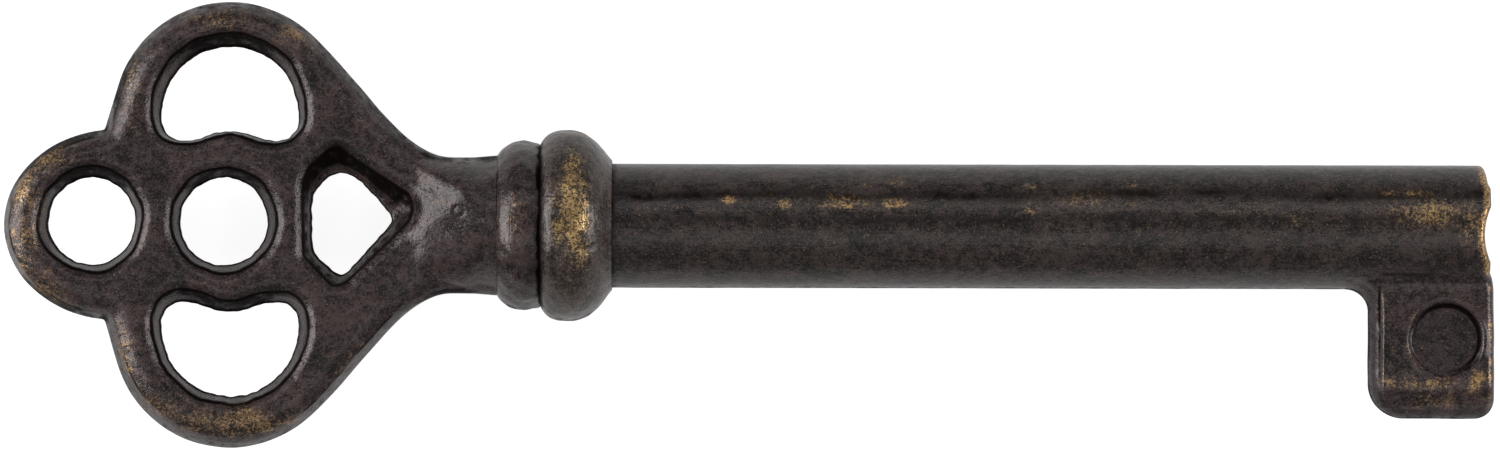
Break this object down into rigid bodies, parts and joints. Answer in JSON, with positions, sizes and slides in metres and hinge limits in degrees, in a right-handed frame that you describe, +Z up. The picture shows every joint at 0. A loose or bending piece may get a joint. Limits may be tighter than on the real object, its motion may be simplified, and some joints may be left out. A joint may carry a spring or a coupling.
{
  "type": "skeleton key",
  "caption": "Barrel skeleton key for furniture locks: lobed openwork bow, beaded collar, drilled round barrel and a plain square bit, in dark antiqued brass.",
  "frame": {"origin": "midway along the key's length, on the barrel's axis seen from above, at the height of the surface that the key lies on", "axes": "+X from the bow's tip to the bit, -Y the way the bit points, +Z up from the surface that the key lies on"},
  "size_m": [0.0762, 0.0228, 0.0098],
  "materials": {
    "bow_brass": "dark brown-black antique patina on cast brass, semi-gloss, rubbed to gold on the rims",
    "ring_brass": "dark antique patina, semi-gloss",
    "collar_brass": "dark antique patina, rubbed to gold on the bead's crest",
    "barrel_brass": "dark antique patina, semi-gloss, with fine speckles of gold",
    "bit_brass": "dark antique patina, rubbed to gold along the lower edge",
    "pin_brass": "plain drawn brass, unpatinated"
  },
  "bodies": {
    "root": {"bow": "bow_brass", "neck_ring": "ring_brass", "collar": "collar_brass", "barrel": "barrel_brass", "bit": "bit_brass", "tang_pin": "pin_brass"}
  },
  "joints": []
}
